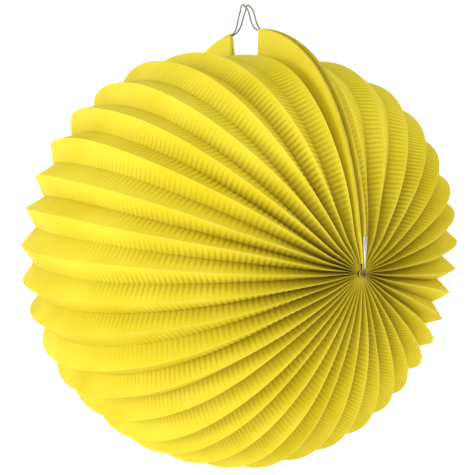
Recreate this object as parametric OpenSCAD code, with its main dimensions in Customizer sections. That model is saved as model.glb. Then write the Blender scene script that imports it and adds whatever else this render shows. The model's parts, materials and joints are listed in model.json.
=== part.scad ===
// Round accordion paper lantern: a fan of pleats between two cover cards, hung by two wires.
// Millimetres. Z is up, the pole line runs along X, the front is -Y.
// The origin is the hang point, inside the top of the two wire loops.

/* [Body] */
// Radius of the pleat ridges at the middle of the body
ridge_radius = 119; // [80:1:200]
// How much further the front bulges than the back
front_bulge = 14.5; // [0:0.5:16]
// How far the section leans toward the lower front and the upper back
skew = 2.2; // [0:0.1:3]
// Height of the three slow waves round the section
lobes = 1; // [0:0.1:2]
// Distance from the centre of the body to each pole
pole_half = 118; // [76:1:190]
// How much the shoulders bulge past an ellipse, as a fraction
bulge = 0.035; // [0:0.005:0.05]
// Height of the hang point above the centre of the body
hang_height = 137.5; // [136:0.5:145]

/* [Pleats] */
// Number of pleats between the two cover cards
pleat_count = 37; // [24:1:44]
// Width of one leaf, from ridge fold to valley fold, at the middle
leaf_width = 12.8; // [10:0.1:18]
// Thickness of one leaf of paper
leaf_thickness = 0.2; // [0.15:0.05:0.4]
// Angle of the first and last ridge from the nearer cover card
first_ridge_angle = 5; // [4:0.5:9]
// Extra opening of the pleats beside the front card, as a share of a step
front_stretch = 0.5; // [0:0.1:1]
// Extra opening of the pleats beside the back card, as a share of a step
back_stretch = 1; // [0:0.1:1.5]
// How much closer the pleats stand at the bottom, as a share of a step
bottom_squeeze = 0.15; // [0:0.05:0.3]
// Hand-folded unevenness of the steps, as a share of a step
unevenness = 0.07; // [0:0.01:0.15]
// How far the ridges beside the seam sink under the notch
seam_dip = 9; // [0:0.5:12]
// Angle from the seam over which that dip fades
seam_spread = 17.5; // [10:0.5:22]

/* [Cover cards] */
// Radius of the card rim at the top
card_rim_radius = 124.5; // [90:0.5:210]
// Distance from the centre to the card rim at each pole
card_rim_half = 119.5; // [80:0.5:195]
// Radius of the inner edge of the card at the top
card_inner_radius = 107.5; // [80:0.5:195]
// Distance from the centre to the inner edge of the card at each pole
card_inner_half = 112.5; // [70:0.5:190]
// Thickness of a cover card
card_thickness = 1.2; // [0.8:0.1:2]
// Gap between the two cover cards
card_gap = 2; // [1:0.1:3]
// Half the width of the notch at the top
notch_half = 18; // [8:0.5:22]
// Height of the card left under the notch
notch_sill = 1.5; // [1:0.5:4]
// Height above the pole line at which the thin end tab begins
tab_height = 21.5; // [10:0.5:30]
// Thickness of the thin end tab
tab_thickness = 0.4; // [0.3:0.1:1]

/* [Hangers] */
// Diameter of the hanger wire
wire_diameter = 0.9; // [0.7:0.1:1.2]
// How far the top of the wire loops leans to the left
wire_offset = 1.2; // [0:0.1:3]

/* [Poles] */
// Outer radius of the eyelet tube on the pole line
eyelet_radius = 1.4; // [1.2:0.1:2.4]
// Radius of the hole through the eyelet
eyelet_hole = 0.6; // [0.4:0.1:0.9]
// Distance from the pole line at which the leaves end
leaf_end_radius = 3; // [2.8:0.1:5]

/* [Hidden] */
function pleat_name(k) = str("pleat_", k < 10 ? "0" : "", k);

yellow = [0.92, 0.82, 0.16];
card_yellow = [0.90, 0.79, 0.15];
steel = [0.62, 0.63, 0.63];
silver = [0.83, 0.84, 0.86];

face_in = card_gap / 2;
face_out = card_gap / 2 + card_thickness;
card_mid = (face_in + face_out) / 2;
notch_floor = card_inner_radius + notch_sill;
ring_count = 28;
touch_gap = 0.03;
tab_inner = 0.1;
tab_low = 4.9;
web_height = 6;
hub_half = 0.6;
clip_tail = 2.6;
clip_low = 7;
clip_high = 18;
clip_sheet = 0.35;
clip_clear = 0.26;
clip_width = 3.4;

function total(v) = v * [for (x = v) 1];

// Opening of step k, from ridge k to ridge k + 1, against the mean
bottom_step = 0.4 * pleat_count;
function opening(k) = 1 + front_stretch * exp(-k / 2) + back_stretch * exp(-(pleat_count - k) / 2)
  - bottom_squeeze * exp(-pow((k - bottom_step) / 3.5, 2)) + unevenness * sin(137 * k);
steps = [for (k = [1 : pleat_count - 1]) opening(k)];

// Angle of each ridge from the front card, round the front
ridge_angles = [for (k = [1 : pleat_count]) first_ridge_angle + (k == 1 ? 0 :
  (360 - 2 * first_ridge_angle) * total([for (i = [0 : k - 2]) steps[i]]) / total(steps))];
function ridge_angle(k) = ridge_angles[k - 1];

// Ridge radius: the pleats beside the seam sink at the middle, under the notch
function from_seam(a) = min(a, 360 - a);
function round_size(a) = ridge_radius + front_bulge / 2 * sin(a) - skew * sin(2 * a) - lobes * cos(3 * a);
function ridge_size(k, s) = round_size(ridge_angle(k))
  - seam_dip * exp(-pow(from_seam(ridge_angle(k)) / seam_spread, 2)) * pow(sin(s), 6);

// Profile from pole to pole, s = 0 at +X, 180 at -X
function swell(s) = 1 + bulge * pow(sin(2 * s), 2);
function prof_x(s) = pole_half * cos(s) * swell(s);
function prof_r(size, s) = size * sin(s) * swell(s);
end_s = asin(leaf_end_radius / ridge_radius);
function ring_s(i) = end_s + (180 - 2 * end_s) * ease(i / ring_count);
function ease(u) = u - 0.045 * sin(360 * u);

// Half thickness of the two cards at distance r from the pole line
function smooth(u) = let (v = min(1, max(0, u))) v * v * (3 - 2 * v);
function card_face(r) = hub_half
  + (face_out + 0.05 - hub_half) * smooth((r - tab_low) / (tab_height - tab_low));
function squeeze(a, r) = let (o = asin(min(0.9, card_face(r) / r))) o + a * (1 - o / 180);

// Point at height x along the pole line, radius r, fan angle a
function at(x, r, a) = let (b = squeeze(a, r)) [x, -sin(b) * r, cos(b) * r - hang_height];

// Width of a leaf from ridge to valley, narrower toward the poles
function leaf(s) = leaf_width * (0.45 + 0.55 * sin(s));

// Valley j lies between ridge j and ridge j + 1
function valley_angle(j) = (ridge_angle(j) + ridge_angle(j + 1)) / 2;
function valley_size(j, s) = (ridge_size(j, s) + ridge_size(j + 1, s)) / 2;
function half_step(j) = (ridge_angle(j + 1) - ridge_angle(j)) / 2;
function depth(j, s) = let (c = prof_r(valley_size(j, s), s) * sin(half_step(j)), w = leaf(s))
  sqrt(max(w * w - c * c, 0.06 * w * w));
function leaf_end(r) = max(leaf_end_radius * 0.97, r);
function valley_r(j, s) = leaf_end(
  prof_r(valley_size(j, s), s) * cos(half_step(j)) - depth(j, s) * sin(s));
function valley_x(j, s) = prof_x(s) - depth(j, s) * cos(s);

// The first and last leaf start at the inner edge of a card
function card_valley_r(s) = leaf_end((card_inner_radius + 0.3) * sin(s) * swell(s));
function card_valley_x(s) = card_inner_half * cos(s) * swell(s);
function valley_point(j, s) =
  j == 0 ? at(card_valley_x(s), card_valley_r(s), 0) :
  j == pleat_count ? at(card_valley_x(s), card_valley_r(s), 360) :
  at(valley_x(j, s), valley_r(j, s), valley_angle(j));
function ridge_point(k, s) = at(prof_x(s), prof_r(ridge_size(k, s), s), ridge_angle(k));

function unit(v) = v / norm(v);
function side_normal(t, a, side) = let (n = unit(cross(t, a))) n * side > 0 ? n : -n;

// Six points round one section of a pleat: valley, ridge, valley, then the inside
function section(k, s) = let (
  low = valley_point(k - 1, s),
  high = valley_point(k, s),
  rg = ridge_point(k, s),
  t = unit(ridge_point(k, s + 0.5) - ridge_point(k, s - 0.5)),
  side = unit(high - low),
  vl = low + side * touch_gap,
  vr = high - side * touch_gap,
  nl = side_normal(t, rg - vl, side),
  nr = side_normal(t, rg - vr, -side),
  mitre = (nl + nr) / max(0.0025, 1 + nl * nr),
  most = 0.92 * min(norm(rg - vl), norm(rg - vr)),
  drop = norm(mitre) * leaf_thickness > most ? unit(mitre) * most : mitre * leaf_thickness)
  [vl, rg, vr, vr + nr * leaf_thickness, rg + drop, vl + nl * leaf_thickness];

// Two triangles of a four-sided patch. The inside is cut along the same diagonal as the outside.
function patch(i, j) = let (a = i * 6 + j, b = i * 6 + (j + 1) % 6)
  j == 3 || j == 4 ? [[a, b, a + 6], [b, b + 6, a + 6]] : [[a, b, b + 6], [a, b + 6, a + 6]];

module pleat(k) {
  rings = [for (i = [0 : ring_count]) section(k, ring_s(i))];
  points = [for (r = rings) for (p = r) p];
  skin = [for (i = [0 : ring_count - 1]) for (j = [0 : 5]) each patch(i, j)];
  last = ring_count * 6;
  first_cap = [[0, 5, 4], [0, 4, 1], [1, 4, 3], [1, 3, 2]];
  last_cap = [for (f = first_cap) [f[2] + last, f[1] + last, f[0] + last]];
  color(yellow)
    polyhedron(points = points, faces = concat(skin, first_cap, last_cap), convexity = 8);
}

function oval(rx, rz, s0, s1, n) = [for (i = [0 : n])
  let (s = s0 + (s1 - s0) * i / n) [rx * cos(s), rz * sin(s)] * swell(s)];

// Outline of a cover card in X and Z, cut off below height low
module card_outline(low) {
  intersection() {
    polygon(concat(oval(card_rim_half, card_rim_radius, 0, 180, 96),
      oval(card_inner_half, card_inner_radius, 180, 0, 96)));
    translate([-200, low]) square([400, 300]);
  }
}

module upright(y0, y1) {
  translate([0, y1, -hang_height])
    rotate([90, 0, 0])
      linear_extrude(height = y1 - y0, convexity = 6)
        children();
}

module notch_outline() {
  polygon([[-notch_half - 0.4, 140], [-notch_half + 1.6, notch_floor],
    [notch_half - 0.2, notch_floor], [notch_half, 140]]);
}

// The low end of the card outline, up to the top of the web
module tab_outline(low) {
  difference() {
    card_outline(low);
    translate([-150, tab_height + web_height]) square([300, 200]);
  }
}

// Full card, with a thin tab at each end and a web that joins the tab to the card
module cover_card() {
  upright(face_in, face_out)
    difference() {
      card_outline(tab_height);
      notch_outline();
    }
  upright(tab_inner, tab_inner + tab_thickness) tab_outline(tab_low);
  upright(tab_inner, face_in + 0.3) tab_outline(tab_height);
}

module front_cover_card() {
  arm_height = 4;
  color(card_yellow)
    mirror([0, 1, 0]) {
      cover_card();
      for (m = [0, 1]) mirror([m, 0, 0])
        translate([card_rim_half - 0.45, tab_inner, -hang_height + eyelet_radius + 0.02])
          cube([0.4, tab_thickness, arm_height]);
    }
}

// Ring that turns on the eyelet, with an arm up to the thin tab
module pivot_ring() {
  ring_thickness = 0.5;
  translate([card_rim_half - 1.15, 0, -hang_height]) rotate([0, 90, 0])
    difference() {
      cylinder(h = ring_thickness, r = eyelet_radius + 1.1, $fn = 48);
      translate([0, 0, -1]) cylinder(h = 3, r = eyelet_radius + 0.05, $fn = 48);
    }
  translate([card_rim_half - 1.15, tab_inner, -hang_height + eyelet_radius + 0.5])
    cube([ring_thickness, tab_thickness, 3]);
}

module back_cover_card() {
  color(card_yellow) {
    cover_card();
    for (m = [0, 1]) mirror([m, 0, 0]) pivot_ring();
  }
}

// Wire path: up from inside the left rim, over the bell-shaped loop, down into the right rim
bury = 0.9;
function rim_point(s) = let (w = swell(s))
  [(card_rim_half * w - bury) * cos(s), (card_rim_radius * w - bury) * sin(s) - hang_height];
function bell(o) = [
  [-12.6, -13.6], [-9.4, -10.8], [-7.4, -7.6], [-5.9, -4.6], [-4.1, -2.4],
  [-2.3 + o, -0.55], [-1.2 + o, 0.2], [o, wire_diameter / 2], [1.2 + o, 0.2],
  [2.3 + o, -0.55], [4.1, -2.4], [5.9, -4.6], [7.4, -7.6], [9.4, -10.8], [12.6, -13.6]];
function wire_knots(o) = concat(
  [for (i = [0 : 3]) rim_point(102.5 - i * 1.6)],
  bell(o),
  [for (i = [0 : 3]) rim_point(82.3 - i * 1.6)]);

// Smooth curve through the knots p, between knot i and the next
function curve(p, i, u) = let (n = len(p) - 1,
  a = p[max(0, i - 1)], b = p[i], c = p[min(n, i + 1)], d = p[min(n, i + 2)])
  b + (c - a) * u / 2 + (2 * a - 5 * b + 4 * c - d) * u * u / 2
  + (3 * b - 3 * c + d - a) * u * u * u / 2;
function wire_path(o) = let (p = wire_knots(o)) concat(
  [for (i = [0 : len(p) - 2]) for (j = [0 : 2]) curve(p, i, j / 3)], [p[len(p) - 1]]);

module wire(o, y) {
  path = wire_path(o);
  last = len(path) - 1;
  sides = 10;
  r = wire_diameter / 2;
  points = [for (i = [0 : last]) for (j = [0 : sides - 1])
    let (t = path[min(last, i + 1)] - path[max(0, i - 1)], u = t / norm(t),
      a = 360 * j / sides, q = r * cos(a))
    [path[i][0] - u[1] * q, y + r * sin(a), path[i][1] + u[0] * q]];
  skin = [for (i = [0 : last - 1]) for (j = [0 : sides - 1])
    let (a = i * sides + j, b = i * sides + (j + 1) % sides)
    each [[a, b + sides, b], [a, a + sides, b + sides]]];
  ends = [[for (j = [0 : sides - 1]) j], [for (j = [sides - 1 : -1 : 0]) last * sides + j]];
  color(steel)
    polyhedron(points = points, faces = concat(skin, ends), convexity = 6);
}

module front_hanger_wire() {
  wire(-wire_offset, -card_mid);
}

module back_hanger_wire() {
  wire(-wire_offset, card_mid);
}

module pole_eyelet() {
  color(steel)
    translate([0, 0, -hang_height]) rotate([0, 90, 0])
      rotate_extrude($fn = 48)
        polygon([[eyelet_hole, card_inner_half - 1.5], [eyelet_radius, card_inner_half - 1.5],
          [eyelet_radius, card_rim_half + 0.1], [eyelet_radius + 0.4, card_rim_half + 0.3],
          [eyelet_radius + 0.4, card_rim_half + 0.6], [eyelet_radius - 0.1, card_rim_half + 0.8],
          [eyelet_hole, card_rim_half + 0.5]]);
}

module left_pole_eyelet() {
  mirror([1, 0, 0]) pole_eyelet();
}

module right_pole_eyelet() {
  pole_eyelet();
}

// Bent metal strip: a plate over the thin end of the back card, with a tail down to the eyelet
// and a flap on the far face of the card
function rim_x(z) = let (s = asin(z / card_rim_radius)) card_rim_half * cos(s) * swell(s);
module pole_clip() {
  lean = (rim_x(clip_high) - rim_x(clip_low)) / (clip_high - clip_low);
  low_y = 0.95;
  high_y = face_out + 0.05;
  plate = [[-clip_tail, -0.1], [-clip_tail, 0.5], [-clip_low, low_y], [-clip_high, high_y],
    [-clip_high, -0.3]];
  flap = [[-clip_low, low_y - 0.3], [-clip_low, low_y], [-clip_high, high_y],
    [-clip_high, high_y - 0.3]];
  color(silver)
    translate([0, 0, -hang_height])
      multmatrix([[1, 0, lean, rim_x(clip_low) - lean * clip_low], [0, 1, 0, 0], [0, 0, 1, 0]]) {
        translate([clip_clear, 0, 0]) rotate([0, 90, 0])
          linear_extrude(height = clip_sheet) polygon(plate);
        translate([-clip_width, 0, 0]) rotate([0, 90, 0])
          linear_extrude(height = clip_width + clip_clear + 0.1) polygon(flap);
      }
}

module left_pole_clip() {
  mirror([1, 0, 0]) pole_clip();
}

module right_pole_clip() {
  pole_clip();
}

front_cover_card();
back_cover_card();
front_hanger_wire();
back_hanger_wire();
left_pole_eyelet();
right_pole_eyelet();
left_pole_clip();
right_pole_clip();
for (k = [1 : pleat_count])
  pleat(k);
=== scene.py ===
"""Accordion paper lantern: crimped paper pleats between two cover cards, hung by two wires."""

import json
import math

import bmesh
import bpy
import numpy as np
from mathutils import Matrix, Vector


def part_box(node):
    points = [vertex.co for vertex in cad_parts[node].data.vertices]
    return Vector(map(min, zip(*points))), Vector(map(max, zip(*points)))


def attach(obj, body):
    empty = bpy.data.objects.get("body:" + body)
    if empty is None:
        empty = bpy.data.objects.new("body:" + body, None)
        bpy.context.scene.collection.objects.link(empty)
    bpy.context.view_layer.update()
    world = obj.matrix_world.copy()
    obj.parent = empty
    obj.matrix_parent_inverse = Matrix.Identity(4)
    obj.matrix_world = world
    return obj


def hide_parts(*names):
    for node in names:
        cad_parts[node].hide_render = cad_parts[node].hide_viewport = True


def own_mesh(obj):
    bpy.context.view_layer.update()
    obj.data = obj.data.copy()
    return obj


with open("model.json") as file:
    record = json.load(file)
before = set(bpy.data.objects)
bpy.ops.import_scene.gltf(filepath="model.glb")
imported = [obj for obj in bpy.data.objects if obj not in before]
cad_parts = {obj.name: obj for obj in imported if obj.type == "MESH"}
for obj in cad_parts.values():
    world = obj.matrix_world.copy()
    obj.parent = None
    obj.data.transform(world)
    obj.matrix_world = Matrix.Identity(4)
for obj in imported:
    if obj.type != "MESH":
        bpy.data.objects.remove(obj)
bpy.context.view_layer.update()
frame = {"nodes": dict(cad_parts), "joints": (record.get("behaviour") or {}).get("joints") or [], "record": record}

MM = 0.001
fan = next(j for j in frame["joints"] if j["name"] == "fan_fold")
couplings = frame["record"]["behaviour"]["couplings"]
CENTRE = Vector(fan["pos_m"])
HANG = -CENTRE.z
RIDGE_ANGLES = np.array([c["ratio"] * 360 for c in couplings])
PLEATS = len(RIDGE_ANGLES)

# the pleats' profile, as in the CAD model
RIDGE_RADIUS = 119 * MM
POLE_HALF = 118 * MM
BULGE = 0.035
SEAM_DIP = 9 * MM
SEAM_SPREAD = 17.5
FRONT_BULGE = 14.5 * MM
SKEW = 2.2 * MM
LOBES = 1 * MM
LEAF_WIDTH = 12.8 * MM
LEAF_END = 1.7 * MM
PAPER = 0.2 * MM
TOUCH_GAP = 0.02 * MM

# the cover cards
CARD_RIM_RADIUS = 124.5 * MM
CARD_RIM_HALF = 119.5 * MM
CARD_INNER_RADIUS = 107.5 * MM
CARD_INNER_HALF = 112.5 * MM
FACE_IN = 1.0 * MM
FACE_OUT = 2.2 * MM
HUB_HALF = 0.6 * MM
TAB_LOW = 4.9 * MM
TAB_HIGH = 21.5 * MM
NOTCH_HALF = 18 * MM
NOTCH_FLOOR = CARD_INNER_RADIUS + 1.5 * MM
CARD_STEPS = 8
CARD_BEVEL = 0.18 * MM
SIDE_RINGS = 70
NOTCH_RINGS = 16

# the crimps that run across every leaf
CRIMP_PITCH = 2.9 * MM
ROWS_PER_CRIMP = 5
LEAF_COLUMNS = 7
VALLEY_CRIMP = 0.33 * MM
RIDGE_CRIMP = 0.06 * MM
LEAST_CRIMP = 0.02 * MM
RIDGE_SWAY = 0.13 * MM
LEAF_BOW = 0.5 * MM
# depth of a crimp trough that gets the full painted shade
CREASE_SHADE_DEPTH = 0.3 * MM


def sind(a):
    return np.sin(np.radians(a))


def cosd(a):
    return np.cos(np.radians(a))


def unit(v):
    return v / np.maximum(np.linalg.norm(v, axis=-1, keepdims=True), 1e-12)


def smooth(u):
    v = np.clip(u, 0, 1)
    return v * v * (3 - 2 * v)


def from_pole(s):
    """Degrees along a meridian from the nearer pole."""
    return np.minimum(s, 180 - s)


def wander(index, u, seed):
    """Smooth unevenness from -1 to 1 along u, different for every index."""
    return (
        np.sin(5.1 * u + 2.4 * index + seed)
        + np.sin(11.3 * u - 1.7 * index + 2.1 * seed)
        + 0.7 * np.sin(23.9 * u + 3.3 * index + 0.7 * seed)
    ) / 2.7


# --- the pleats' surface, point by point ---------------------------------------------------------


def swell(s):
    return 1 + BULGE * sind(2 * s) ** 2


def ridge_size(index, s):
    angle = np.interp(index, np.arange(PLEATS), RIDGE_ANGLES)
    from_seam = min(angle, 360 - angle)
    dip = SEAM_DIP * math.exp(-((from_seam / SEAM_SPREAD) ** 2)) * sind(s) ** 6
    return (RIDGE_RADIUS + FRONT_BULGE / 2 * sind(angle) - SKEW * sind(2 * angle)
            - LOBES * cosd(3 * angle) - dip)


def card_face(r):
    rise = smooth((r - TAB_LOW) / (TAB_HIGH - TAB_LOW))
    return HUB_HALF + (FACE_OUT + 0.05 * MM - HUB_HALF) * rise


def place(x, r, angle):
    """A point at height x along the pole line, distance r from it, fan angle from the front card."""
    aside = np.degrees(np.arcsin(np.minimum(0.9, card_face(r) / r)))
    turned = aside + angle * (1 - aside / 180)
    return np.stack([x, -sind(turned) * r, cosd(turned) * r - HANG], axis=-1)


def ridge_line(k, s, u):
    r = ridge_size(k, s) * sind(s) * swell(s)
    r = r + 0.45 * MM * wander(k, u, 1.3) * sind(s)
    by_hub = smooth((45 - from_pole(s)) / 30)
    angle = RIDGE_ANGLES[k] + (0.35 * sind(s) + 1.1 * by_hub) * wander(k, u, 4.2)
    return place(POLE_HALF * cosd(s) * swell(s), r, angle)


def valley_line(j, s, u):
    """Valley j lies between ridge j - 1 and ridge j; the first and last are glued to the cards."""
    if j in (0, PLEATS):
        r = np.maximum(LEAF_END * 0.97, (CARD_INNER_RADIUS + 0.3 * MM) * sind(s) * swell(s))
        return place(CARD_INNER_HALF * cosd(s) * swell(s), r, 0 if j == 0 else 360)
    size = ridge_size(j - 0.5, s) * sind(s) * swell(s)
    half = (RIDGE_ANGLES[j] - RIDGE_ANGLES[j - 1]) / 2
    middle = (RIDGE_ANGLES[j] + RIDGE_ANGLES[j - 1]) / 2
    leaf = LEAF_WIDTH * (0.45 + 0.55 * sind(s))
    depth = np.sqrt(np.maximum(leaf**2 - (size * sind(half)) ** 2, 0.06 * leaf**2))
    depth = depth + 0.3 * MM * wander(j, u, 7.7) * sind(s)
    x = POLE_HALF * cosd(s) * swell(s) - depth * cosd(s)
    r = np.maximum(LEAF_END * 0.97, size * cosd(half) - depth * sind(s))
    return place(x, r, middle + 0.3 * wander(j, u, 2.9) * sind(s))


def even_rows():
    """Values of s from pole to pole, evenly spaced along a ridge, and how many crimps fit."""
    end = math.degrees(math.asin(LEAF_END / RIDGE_RADIUS))
    s = np.linspace(end, 180 - end, 2001)
    x = POLE_HALF * cosd(s) * swell(s)
    r = RIDGE_RADIUS * sind(s) * swell(s)
    along = np.concatenate([[0], np.cumsum(np.hypot(np.diff(x), np.diff(r)))])
    crimps = round(along[-1] / CRIMP_PITCH)
    rows = crimps * ROWS_PER_CRIMP + 1
    return np.interp(np.linspace(0, along[-1], rows), along, s), crimps


ROWS_S, CRIMPS = even_rows()
ROWS_U = np.linspace(0, 1, len(ROWS_S))
ROWS_FROM_POLE = from_pole(ROWS_S)
PAST_HUB = smooth((ROWS_FROM_POLE - 3) / 22)


def crimp_wave(index):
    """Height of the crimps, from -1 to 1, on the fold line at this index (a valley at a half)."""
    drift = 0.5 * wander(index * 0.35, ROWS_U, 5.5)
    turn = 2 * np.pi * CRIMPS * ROWS_U + drift
    return np.sin(turn) + 0.25 * np.cos(2 * turn)


def crimp_reach(k, side):
    """Share of the leaf, from its ridge, over which the crimps grow to full height."""
    at_front = 20 < RIDGE_ANGLES[k] < 190
    beside_notch = side < 0 and RIDGE_ANGLES[k] < 30
    return 0.9 if at_front and not beside_notch else 0.5


def crimp_height(index, t, reach):
    """Crimps die out toward the middle of the body, at the hubs and toward the ridge."""
    fade = smooth((84 + 8 * wander(index, ROWS_U, 6.3) - ROWS_FROM_POLE) / 40)
    near_pole = smooth((42 - ROWS_FROM_POLE) / 30)
    uneven = 0.85 + 0.3 * wander(index, ROWS_U, 9.1)
    deep = smooth((t + 0.02) / reach)
    height = RIDGE_CRIMP * near_pole + deep * (VALLEY_CRIMP * fade + LEAST_CRIMP)
    return height * uneven * PAST_HUB


def leaf_points(k, side):
    """One leaf as rows x columns from its ridge to its valley; side is -1 for the leaf before the ridge."""
    j = k if side < 0 else k + 1
    ridge = ridge_line(k, ROWS_S, ROWS_U)
    low, high = valley_line(k, ROWS_S, ROWS_U), valley_line(k + 1, ROWS_S, ROWS_U)
    across = unit(high - low)
    valley = (low if side < 0 else high) - side * across * TOUCH_GAP
    along = unit(np.gradient(ridge, axis=0))
    normal = unit(np.cross(along, valley - ridge))
    normal = normal * np.sign((normal * across * side).sum(-1, keepdims=True))
    ridge_out = unit(ridge - (low + high) / 2)
    centre_out = unit(place(POLE_HALF * cosd(ROWS_S), RIDGE_RADIUS * sind(ROWS_S),
                            np.clip(RIDGE_ANGLES[[max(j - 1, 0), min(j, PLEATS - 1)]].mean(), 0, 360))
                      - np.array(CENTRE))
    near_pole = smooth((45 - ROWS_FROM_POLE) / 30) * PAST_HUB
    reach = crimp_reach(k, side)
    columns, crease_shades = [], []
    for t in np.linspace(0, 1, LEAF_COLUMNS + 1):
        fold_out = ridge_out * (1 - t) + centre_out * t
        face = math.sin(math.pi * t)
        push = unit(normal * face + fold_out * (1 - face))
        index = k + side * t / 2
        lift = crimp_height(index, t, reach) * crimp_wave(index)
        bow = LEAF_BOW * wander(k + 0.25 * side, ROWS_U, 3.7) * face * sind(ROWS_S)
        sway = RIDGE_SWAY * (1 - t) * near_pole * crimp_wave(k)
        point = ridge + (valley - ridge) * t + push * lift[:, None] + normal * bow[:, None]
        point = point + across * sway[:, None]
        columns.append(point)
        # Painted shade in the crimp troughs, growing with the depth of the trough.
        crease_shades.append(np.clip(-lift / CREASE_SHADE_DEPTH, 0, 1))
    return np.stack(columns, axis=1), np.stack(crease_shades, axis=1)


def make_mesh(name, points, faces, materials):
    mesh = bpy.data.meshes.new(name)
    mesh.from_pydata(points.tolist(), [], faces.tolist() if hasattr(faces, "tolist") else faces)
    mesh.validate()
    for material in materials:
        mesh.materials.append(material)
    piece = bpy.data.objects.new(name, mesh)
    bpy.context.scene.collection.objects.link(piece)
    return piece


def ring_faces(rows, ring):
    """Quads that join each ring of points to the next, and quads that close both ends."""
    i, c = np.meshgrid(np.arange(rows - 1), np.arange(ring), indexing="ij")
    a, b = i * ring + c, i * ring + (c + 1) % ring
    sides = np.stack([a, b, b + ring, a + ring], axis=-1).reshape(-1, 4)
    half = ring // 2
    c = np.arange(half - 1)
    first = np.stack([c, ring - 1 - c, ring - 2 - c, c + 1], axis=-1)
    last = first[:, ::-1] + (rows - 1) * ring
    return np.concatenate([sides, first, last])


def signed_volume(points, faces):
    a, b, c, d = (points[faces[:, i]] for i in range(4))
    return (np.cross(a, b) * c + np.cross(a, c) * d).sum()


def make_pleat(k, material):
    (left, left_crease_shade), (right, right_crease_shade) = leaf_points(k, -1), leaf_points(k, 1)
    outer = np.concatenate([left[:, ::-1], right[:, 1:]], axis=1)
    crease_shade = np.concatenate([left_crease_shade[:, ::-1], right_crease_shade[:, 1:]], axis=1)
    grow = unit(np.cross(np.gradient(outer, axis=0), np.gradient(outer, axis=1)))
    ridge = ridge_line(k, ROWS_S, ROWS_U)
    outward = unit(ridge - valley_line(k, ROWS_S, ROWS_U) + ridge - valley_line(k + 1, ROWS_S, ROWS_U))
    ridge_column = LEAF_COLUMNS
    facing = np.sign((grow[:, ridge_column] * outward).sum(-1))
    inner = outer - grow * facing[:, None, None] * PAPER
    rows, columns = outer.shape[:2]
    ring = np.concatenate([outer, inner[:, ::-1]], axis=1)
    points = ring.reshape(-1, 3)
    faces = ring_faces(rows, 2 * columns)
    if signed_volume(points, faces) < 0:
        faces = faces[:, ::-1]
    piece = make_mesh(f"pleat_sheet_{k + 1:02d}", points, faces, [material])
    mesh = piece.data
    mesh.shade_smooth()
    ends = np.empty(len(mesh.edges) * 2, dtype=np.int64)
    mesh.edges.foreach_get("vertices", ends)
    column = ends.reshape(-1, 2) % (2 * columns)
    edge_columns = [0, ridge_column, columns - 1, columns, columns + ridge_column, 2 * columns - 1]
    sharp = (column[:, 0] == column[:, 1]) & np.isin(column[:, 0], edge_columns)
    mesh.attributes.new("sharp_edge", "BOOLEAN", "EDGE").data.foreach_set("value", sharp)
    from_ridge = np.abs(np.arange(columns) - ridge_column) / LEAF_COLUMNS
    near_pole = smooth((62 - ROWS_FROM_POLE) / 55)
    # The last attribute is painted shade for the crimp troughs; from_ridge and near_pole place the painted fold
    # shade and the pale ridges.
    for label, values in (
        ("from_ridge", np.tile(np.concatenate([from_ridge, from_ridge[::-1]]), rows)),
        ("near_pole", np.repeat(near_pole, 2 * columns)),
        ("crease_shade", np.concatenate([crease_shade, crease_shade[:, ::-1]], axis=1).ravel()),
    ):
        mesh.attributes.new(label, "FLOAT", "POINT").data.foreach_set("value", values)
    return piece


# --- materials -----------------------------------------------------------------------------------


class Nodes:
    """Short helper to build a node material."""

    def __init__(self, name):
        self.material = bpy.data.materials.new(name)
        self.material.use_nodes = True
        self.tree = self.material.node_tree
        self.shader = self.tree.nodes["Principled BSDF"]

    def add(self, kind, inputs=None, **settings):
        node = self.tree.nodes.new(kind)
        for key, value in settings.items():
            setattr(node, key, value)
        for key, value in (inputs or {}).items():
            if isinstance(value, bpy.types.NodeSocket):
                self.tree.links.new(value, node.inputs[key])
            else:
                node.inputs[key].default_value = value
        return node

    def noise(self, scale, detail=3.0, roughness=0.5, where=None):
        inputs = {"Scale": scale, "Detail": detail, "Roughness": roughness}
        inputs["Vector"] = where or self.place()
        return self.add("ShaderNodeTexNoise", inputs).outputs["Fac"]

    def place(self):
        return self.add("ShaderNodeTexCoord").outputs["Object"]

    def ramp(self, value, low, high, at=(0.0, 1.0)):
        node = self.add("ShaderNodeValToRGB", {"Fac": value})
        for element, colour, position in zip(node.color_ramp.elements, (low, high), at):
            element.color = (*colour, 1)
            element.position = position
        return node.outputs["Color"]

    def mix(self, share, a, b):
        node = self.add("ShaderNodeMix", data_type="RGBA", blend_type="MIX")
        for socket, value in ((0, share), (6, a), (7, b)):
            if isinstance(value, bpy.types.NodeSocket):
                self.tree.links.new(value, node.inputs[socket])
            elif socket:
                node.inputs[socket].default_value = (*value, 1)
            else:
                node.inputs[socket].default_value = value
        return node.outputs[2]

    def math(self, operation, a, b=0.0):
        return self.add("ShaderNodeMath", {0: a, 1: b}, operation=operation).outputs[0]

    def bump(self, height, strength, distance):
        inputs = {"Height": height, "Strength": strength, "Distance": distance}
        return self.add("ShaderNodeBump", inputs).outputs["Normal"]

    def finish(self, **inputs):
        for key, value in inputs.items():
            socket = self.shader.inputs[key.replace("_", " ")]
            if isinstance(value, bpy.types.NodeSocket):
                self.tree.links.new(value, socket)
            else:
                socket.default_value = value
        return self.material


YELLOW_LOW = (0.71, 0.59, 0.012)
YELLOW_HIGH = (0.82, 0.695, 0.042)
# Pale colour for ridges that are rubbed, with a painted highlight.
PALE_YELLOW = (0.83, 0.73, 0.16)
# Dark brown for the painted shade in the valleys, the crimp troughs and round the hubs.
FOLD_SHADE_BROWN = (0.30, 0.22, 0.001)


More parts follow.
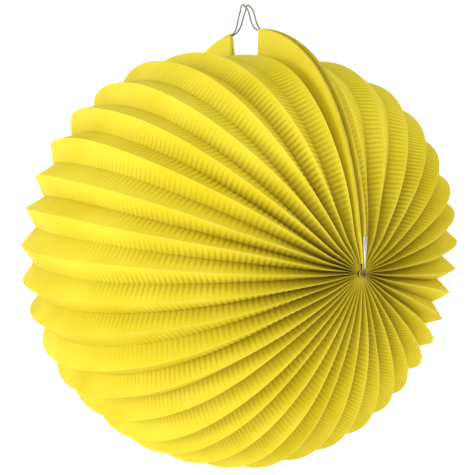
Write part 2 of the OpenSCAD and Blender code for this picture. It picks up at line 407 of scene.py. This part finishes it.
def paper_material():
    """Dyed crepe-like paper: cloudy colour, fibres, painted shade darkening the valleys, crimp troughs and hubs,
    and ridges rubbed pale with a painted highlight.
    """
    n = Nodes("yellow_paper")
    cloud = n.noise(28, 4)
    colour = n.ramp(cloud, YELLOW_LOW, YELLOW_HIGH, (0.3, 0.72))
    fibre = n.noise(2600, 2, 0.6)
    colour = n.mix(n.math("MULTIPLY", fibre, 0.12), colour, (0.62, 0.45, 0.01))
    from_ridge = n.add("ShaderNodeAttribute", attribute_name="from_ridge").outputs["Fac"]
    near_pole = n.add("ShaderNodeAttribute", attribute_name="near_pole").outputs["Fac"]
    # Painted shade: every leaf darkens to brown toward its valley, more strongly near the poles.
    fold_shade = n.math("POWER", from_ridge, 2.0)
    shade = n.math("MULTIPLY", fold_shade, n.math("ADD", n.math("MULTIPLY", near_pole, 0.62), 0.18))
    colour = n.mix(shade, colour, FOLD_SHADE_BROWN)
    # Painted shade: near the hubs the valleys darken further, from close to the ridge inward.
    by_hub = n.math("POWER", near_pole, 6.0)
    hub_fold_shade = n.add("ShaderNodeMapRange", {"Value": from_ridge, 1: 0.05, 2: 0.35, 3: 0.0, 4: 0.62}).outputs[0]
    colour = n.mix(n.math("MULTIPLY", by_hub, hub_fold_shade), colour, FOLD_SHADE_BROWN)
    # Painted shade in the troughs of the crimps.
    crease_shade = n.add("ShaderNodeAttribute", attribute_name="crease_shade").outputs["Fac"]
    colour = n.mix(n.math("MULTIPLY", crease_shade, 0.34), colour, FOLD_SHADE_BROWN)
    # Pale ridges: rubbed wear plus a painted highlight where the folds catch the light, strongest near the poles.
    ridge_wear_and_highlight = n.add("ShaderNodeMapRange", {"Value": from_ridge, 1: 0.0, 2: 0.08, 3: 1.0, 4: 0.0}).outputs[0]
    patchy_ridge_wear_and_highlight = n.math("MULTIPLY", ridge_wear_and_highlight, n.math("ADD", n.noise(90, 2), 0.2))
    wear_and_highlight_by_pole = n.math("ADD", n.math("MULTIPLY", near_pole, 0.75), 0.2)
    colour = n.mix(n.math("MULTIPLY", patchy_ridge_wear_and_highlight, wear_and_highlight_by_pole), colour, PALE_YELLOW)
    grain = n.bump(n.noise(1500, 3, 0.65), 0.35, 0.0002)
    return n.finish(Base_Color=colour, Roughness=n.math("ADD", n.math("MULTIPLY", fibre, 0.2), 0.66),
                    Normal=grain, Specular_IOR_Level=0.2)


def card_material():
    """Card covered in smooth yellow paper."""
    n = Nodes("yellow_card")
    colour = n.ramp(n.noise(20, 4), (0.71, 0.59, 0.014), (0.79, 0.67, 0.034), (0.3, 0.7))
    speck = n.noise(1900, 2, 0.7)
    colour = n.mix(n.math("MULTIPLY", speck, 0.10), colour, (0.60, 0.44, 0.02))
    grain = n.bump(n.noise(900, 4, 0.6), 0.2, 0.0002)
    return n.finish(Base_Color=colour, Roughness=n.math("ADD", n.math("MULTIPLY", speck, 0.2), 0.55),
                    Normal=grain, Specular_IOR_Level=0.25)


def card_edge_material():
    """Cut edge of the card: pale yellow board with layers along the cut."""
    n = Nodes("card_edge")
    stretch = n.add("ShaderNodeMapping", {"Vector": n.place(), "Scale": (120.0, 4200.0, 120.0)})
    layers = n.noise(1.0, 3, 0.6, stretch.outputs[0])
    colour = n.ramp(layers, (0.42, 0.32, 0.03), (0.70, 0.59, 0.06), (0.3, 0.7))
    return n.finish(Base_Color=colour, Roughness=0.85, Normal=n.bump(layers, 0.4, 0.0003),
                    Specular_IOR_Level=0.2)


def metal_material(name, colour, roughness, metallic=0.9):
    """Drawn or pressed metal with fine streaks and dull patches."""
    n = Nodes(name)
    patch = n.noise(260, 3)
    dull = n.mix(patch, tuple(0.72 * c for c in colour), colour)
    streaks = n.noise(3000, 2, 0.7)
    rough = n.math("ADD", n.math("MULTIPLY", streaks, 0.25), roughness)
    return n.finish(Base_Color=dull, Metallic=metallic, Roughness=rough,
                    Normal=n.bump(streaks, 0.15, 0.0001))


def stage_material():
    """Pale floor that glows to plain white away from the object."""
    n = Nodes("pale_floor")
    colour = n.ramp(n.noise(3, 2), (0.88, 0.88, 0.88), (0.92, 0.92, 0.92))
    from_middle = n.add("ShaderNodeVectorMath", {0: n.place()}, operation="LENGTH").outputs["Value"]
    glow = n.add("ShaderNodeMapRange", {"Value": from_middle, 1: 0.4, 2: 0.95, 3: 0.0, 4: 0.8}).outputs[0]
    return n.finish(Base_Color=colour, Roughness=0.9, Emission_Color=(1, 1, 1, 1), Emission_Strength=glow)


PAPER_LOOK = paper_material()
CARD_LOOK = card_material()
EDGE_LOOK = card_edge_material()
WIRE_LOOK = metal_material("hanger_wire", (0.30, 0.30, 0.28), 0.38)
CLIP_LOOK = metal_material("clip_metal", (0.88, 0.86, 0.80), 0.36)
EYELET_LOOK = metal_material("eyelet_metal", (0.22, 0.16, 0.05), 0.5, metallic=0.6)

# --- pleats --------------------------------------------------------------------------------------

for number, angle in enumerate(RIDGE_ANGLES, start=1):
    sheet = make_pleat(number - 1, PAPER_LOOK)
    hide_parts(f"pleat_{number:02d}")
    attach(sheet, f"fold_{number:02d}")
    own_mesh(sheet)

# --- cover cards ---------------------------------------------------------------------------------


def closing(x):
    """How far a card's rim leans to the seam: the two cards touch at the left side of the notch."""
    return 0.93 * MM * smooth((-x - 4 * MM) / (13 * MM)) * smooth((x + 100 * MM) / (55 * MM))


def card_section(x_in, z_in, x_out, z_out):
    """Ring of points round one section of the card, from its inner edge to its outer edge."""
    share = np.linspace(0, 1, CARD_STEPS + 1)
    x, z = x_in + (x_out - x_in) * share, z_in + (z_out - z_in) * share
    lean = closing(x) * smooth((np.hypot(x, z) - math.hypot(x_in, z_in)) / (2.5 * MM))
    rise = smooth((z - TAB_LOW) / (TAB_HIGH + 4 * MM - TAB_LOW))
    bow = 0.45 * MM * sind(np.degrees(np.arctan2(z, x)) * 2) ** 2 - lean
    near = 0.1 * MM + (FACE_IN - 0.1 * MM) * rise + bow
    far = 0.5 * MM + (FACE_OUT - 0.5 * MM) * rise + bow - 0.3 * lean
    width = max(math.hypot(x_out - x_in, z_out - z_in), 1e-9)
    dx, dz = (x_out - x_in) / width, (z_out - z_in) / width
    pull = np.zeros(CARD_STEPS + 1)
    pull[0], pull[-1] = CARD_BEVEL, -CARD_BEVEL
    near_side = np.stack([x + dx * pull, near, z + dz * pull], axis=-1)
    far_side = np.stack([x + dx * pull, far, z + dz * pull], axis=-1)[::-1]
    thin = 0.3 * (far[-1] - near[-1])
    rim = [[x_out, near[-1] + thin, z_out], [x_out, far[-1] - thin, z_out]]
    thin = 0.3 * (far[0] - near[0])
    inner = [[x_in, far[0] - thin, z_in], [x_in, near[0] + thin, z_in]]
    return np.concatenate([near_side, rim, far_side, inner])


def card_rings():
    """Sections along the card; at each notch wall two sections share one place."""
    notch_left = math.degrees(math.acos((-NOTCH_HALF - 0.4 * MM) / CARD_RIM_HALF))
    notch_right = math.degrees(math.acos(NOTCH_HALF / CARD_RIM_HALF))
    low = math.degrees(math.asin(TAB_LOW / CARD_RIM_RADIUS))
    s = np.concatenate([np.linspace(low, notch_right, SIDE_RINGS),
                        np.linspace(notch_right, notch_left, NOTCH_RINGS),
                        np.linspace(notch_left, 180 - low, SIDE_RINGS)])
    in_notch = np.concatenate([np.zeros(SIDE_RINGS), np.ones(NOTCH_RINGS), np.zeros(SIDE_RINGS)])
    rings = []
    for angle, cut in zip(s, in_notch):
        lean = 0.6 * math.exp(-abs(angle - notch_left) / 5)
        x_in = CARD_INNER_HALF * cosd(angle - lean) * swell(angle - lean)
        z_in = CARD_INNER_RADIUS * sind(angle - lean) * swell(angle - lean)
        x_out = CARD_RIM_HALF * cosd(angle) * swell(angle)
        z_out = CARD_RIM_RADIUS * sind(angle) * swell(angle)
        if cut:
            share = (NOTCH_FLOOR - z_in) / (z_out - z_in)
            x_out, z_out = x_in + (x_out - x_in) * share, NOTCH_FLOOR
        rings.append(card_section(x_in, z_in, x_out, z_out))
    return np.array(rings)


def washer(x, thickness, bore, outer, segments=48):
    """Flat ring round the pole line with rounded edges, as points and faces."""
    edge = 0.12 * MM
    profile = [(bore, edge), (bore + edge, 0), (outer - edge, 0), (outer, edge), (outer, thickness - edge),
               (outer - edge, thickness), (bore + edge, thickness), (bore, thickness - edge)]
    angles = np.linspace(0, 360, segments, endpoint=False)
    points = np.array([[x + w, r * sind(a), r * cosd(a)] for a in angles for r, w in profile])
    count = len(profile)
    i, c = np.meshgrid(np.arange(segments), np.arange(count), indexing="ij")
    a, b = i * count + c, i * count + (c + 1) % count
    after = ((i + 1) % segments - i) * count
    return points, np.stack([a, b, b + after, a + after], axis=-1).reshape(-1, 4)


def bar(x0, x1, y0, y1, z0, z1):
    """Short flat arm with tapered ends, as points and faces."""
    points = []
    for z, shrink in ((z0, 0.3), (z0 + 0.1 * (z1 - z0), 0.0), (z1 - 0.1 * (z1 - z0), 0.0), (z1, 0.3)):
        a, b = (x0 + x1) / 2, (y0 + y1) / 2
        p, q = (x1 - x0) / 2 * (1 - shrink), (y1 - y0) / 2 * (1 - shrink)
        points += [[a - p, b - q, z], [a + p, b - q, z], [a + p, b + q, z], [a - p, b + q, z]]
    faces = [[i * 4 + c, i * 4 + (c + 1) % 4, i * 4 + 4 + (c + 1) % 4, i * 4 + 4 + c]
             for i in range(3) for c in range(4)]
    return np.array(points), np.array(faces + [[0, 3, 2, 1], [12, 13, 14, 15]])


def make_card(name, side, pivots):
    """side is -1 for the front card, 1 for the back one; pivots are its extra solids at the poles."""
    rings = card_rings()
    rows, ring = rings.shape[:2]
    i, c = np.meshgrid(np.arange(rows - 1), np.arange(ring), indexing="ij")
    a, b = i * ring + c, i * ring + (c + 1) % ring
    band = np.stack([a, b, b + ring, a + ring], axis=-1).reshape(-1, 4)
    shells = [(rings.reshape(-1, 3), [*band.tolist(), list(range(ring))[::-1],
                                      list(range((rows - 1) * ring, rows * ring))])]
    for points, faces in pivots:
        for mirror in (1, -1):
            shells.append((points * [mirror, 1, 1], faces.tolist()))
    points, faces = np.empty((0, 3)), []
    for more, more_faces in shells:
        faces += [[v + len(points) for v in f] for f in more_faces]
        points = np.concatenate([points, more])
    points = points * [1, side, 1] - [0, 0, HANG]
    piece = make_mesh(name, points, faces, [CARD_LOOK, EDGE_LOOK])
    mesh = bmesh.new()
    mesh.from_mesh(piece.data)
    bmesh.ops.remove_doubles(mesh, verts=mesh.verts, dist=1e-7)
    bmesh.ops.recalc_face_normals(mesh, faces=mesh.faces)
    for face in mesh.faces:
        face.smooth = True
        notch_wall = abs(face.normal.x) > 0.7 and face.calc_center_median().z + HANG > NOTCH_FLOOR - 0.5 * MM
        face.material_index = 0 if abs(face.normal.y) > 0.5 or notch_wall else 1
    for edge in mesh.edges:
        if len(edge.link_faces) == 2 and edge.calc_face_angle() > math.radians(50):
            edge.smooth = False
    mesh.to_mesh(piece.data)
    mesh.free()
    return piece


eyelet_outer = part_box("right_pole_eyelet")[1][2] + HANG
EYELET_RADIUS = eyelet_outer - 0.4 * MM
ARM_X = CARD_RIM_HALF - 0.45 * MM
ARM_LOW, ARM_TOP = EYELET_RADIUS + 0.02 * MM, EYELET_RADIUS + 4 * MM
front_arm = bar(ARM_X, ARM_X + 0.4 * MM, 0.1 * MM, 0.5 * MM, ARM_LOW, ARM_TOP)
RING_X = CARD_RIM_HALF - 1.15 * MM
back_ring = washer(RING_X, 0.5 * MM, EYELET_RADIUS + 0.05 * MM, EYELET_RADIUS + 0.55 * MM)
back_arm = bar(RING_X, RING_X + 0.5 * MM, 0.1 * MM, 0.5 * MM, ARM_LOW + 0.5 * MM, ARM_TOP - 0.5 * MM)

for name, side, body, pivots in (
    ("front_cover_card", -1, "front_cover", [front_arm]),
    ("back_cover_card", 1, "back_cover", [back_ring, back_arm]),
):
    card = make_card(name + "_board", side, pivots)
    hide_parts(name)
    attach(card, body)

# --- wires, clips and eyelets --------------------------------------------------------------------


def refined(node, look, bevel=0.0, subdivisions=0):
    """A copy of a CAD node with rounded edges or a smoothed surface, in a finished material."""
    piece = bpy.data.objects.new(node + "_metal", frame["nodes"][node].data.copy())
    bpy.context.scene.collection.objects.link(piece)
    mesh = bmesh.new()
    mesh.from_mesh(piece.data)
    bmesh.ops.remove_doubles(mesh, verts=mesh.verts, dist=1e-7)
    if bevel:
        flat = math.radians(0.5)
        bmesh.ops.dissolve_limit(mesh, angle_limit=flat, verts=mesh.verts, edges=mesh.edges)
        sharp = [e for e in mesh.edges if e.calc_face_angle(0) > math.radians(35)]
        bmesh.ops.bevel(mesh, geom=sharp, offset=bevel, segments=2, affect="EDGES", clamp_overlap=True)
    if "wire" in node:
        for corner in mesh.verts:
            corner.co.y -= math.copysign(closing(corner.co.x), corner.co.y)
    mesh.to_mesh(piece.data)
    mesh.free()
    if subdivisions:
        surface = piece.modifiers.new("smooth", "SUBSURF")
        surface.levels = surface.render_levels = subdivisions
        evaluated = piece.evaluated_get(bpy.context.evaluated_depsgraph_get())
        piece.data = bpy.data.meshes.new_from_object(evaluated)
        piece.modifiers.clear()
    piece.data.materials.clear()
    piece.data.materials.append(look)
    piece.data.shade_smooth()
    return piece


for node, slot, body, look, bevel, subdivisions in (
    ("front_hanger_wire", "hanger_wire", "front_cover", WIRE_LOOK, 0.0, 1),
    ("back_hanger_wire", "hanger_wire", "back_cover", WIRE_LOOK, 0.0, 1),
    ("left_pole_clip", "clip_metal", "back_cover", CLIP_LOOK, 0.08 * MM, 0),
    ("right_pole_clip", "clip_metal", "back_cover", CLIP_LOOK, 0.08 * MM, 0),
    ("left_pole_eyelet", "eyelet_metal", "front_cover", EYELET_LOOK, 0.0, 0),
    ("right_pole_eyelet", "eyelet_metal", "front_cover", EYELET_LOOK, 0.0, 0),
):
    piece = refined(node, look, bevel, subdivisions)
    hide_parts(node)
    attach(piece, body)

# --- stage, light and camera ---------------------------------------------------------------------

FLOOR_DROP = 0.62
FLOOR_SIZE = 60.0
bpy.ops.mesh.primitive_plane_add(size=FLOOR_SIZE, location=(0, 0, -FLOOR_DROP))
floor = bpy.context.object
floor.name = "floor"
floor.data.materials.append(stage_material())


def direction(azimuth, elevation):
    a, e = math.radians(azimuth), math.radians(elevation)
    return Vector((math.sin(a) * math.cos(e), -math.cos(a) * math.cos(e), math.sin(e)))


def area_light(name, azimuth, elevation, distance, size, power):
    light = bpy.data.lights.new(name, "AREA")
    light.shape = "DISK"
    light.size = size
    light.energy = power
    lamp = bpy.data.objects.new(name, light)
    bpy.context.scene.collection.objects.link(lamp)
    toward = direction(azimuth, elevation)
    lamp.location = CENTRE + toward * distance
    lamp.rotation_euler = toward.to_track_quat("Z", "Y").to_euler()


CAMERA_AZIMUTH = 62.58
CAMERA_ELEVATION = 5.76
CAMERA_DISTANCE = 0.6156
CAMERA_LENS = 81.36
AIM_HEIGHT = 6.74 * MM
AIM_RIGHT = -5.04 * MM

area_light("key", CAMERA_AZIMUTH - 58, 5, 1.3, 0.6, 4.8)
area_light("top_fill", CAMERA_AZIMUTH - 25, 65, 1.2, 0.8, 2)
area_light("low_fill", CAMERA_AZIMUTH + 35, -8, 1.3, 0.9, 2.6)


def studio_world():
    """White at eye level all round, dimmer above and below."""
    world = bpy.data.worlds.new("studio")
    world.use_nodes = True
    tree = world.node_tree
    facing = tree.nodes.new("ShaderNodeTexCoord")
    split = tree.nodes.new("ShaderNodeSeparateXYZ")
    height = tree.nodes.new("ShaderNodeMath")
    height.operation = "ABSOLUTE"
    fade = tree.nodes.new("ShaderNodeMapRange")
    fade.interpolation_type = "SMOOTHSTEP"
    for socket, value in zip(list(fade.inputs)[1:5], (0.2, 0.6, 1.08, 0.62)):
        socket.default_value = value
    links = tree.links
    links.new(facing.outputs["Generated"], split.inputs[0])
    links.new(split.outputs["Z"], height.inputs[0])
    links.new(height.outputs[0], fade.inputs[0])
    links.new(fade.outputs[0], tree.nodes["Background"].inputs["Strength"])
    tree.nodes["Background"].inputs["Color"].default_value = (1, 1, 1, 1)
    return world


bpy.context.scene.world = studio_world()
bpy.context.scene.view_settings.view_transform = "Standard"

camera_data = bpy.data.cameras.new("camera")
camera_data.lens = CAMERA_LENS
camera = bpy.data.objects.new("camera", camera_data)
bpy.context.scene.collection.objects.link(camera)
toward = direction(CAMERA_AZIMUTH, CAMERA_ELEVATION)
aim = CENTRE + Vector((0, 0, AIM_HEIGHT)) + direction(CAMERA_AZIMUTH + 90, 0) * AIM_RIGHT
camera.location = aim + toward * CAMERA_DISTANCE
camera.rotation_euler = toward.to_track_quat("Z", "Y").to_euler()
bpy.context.scene.camera = camera
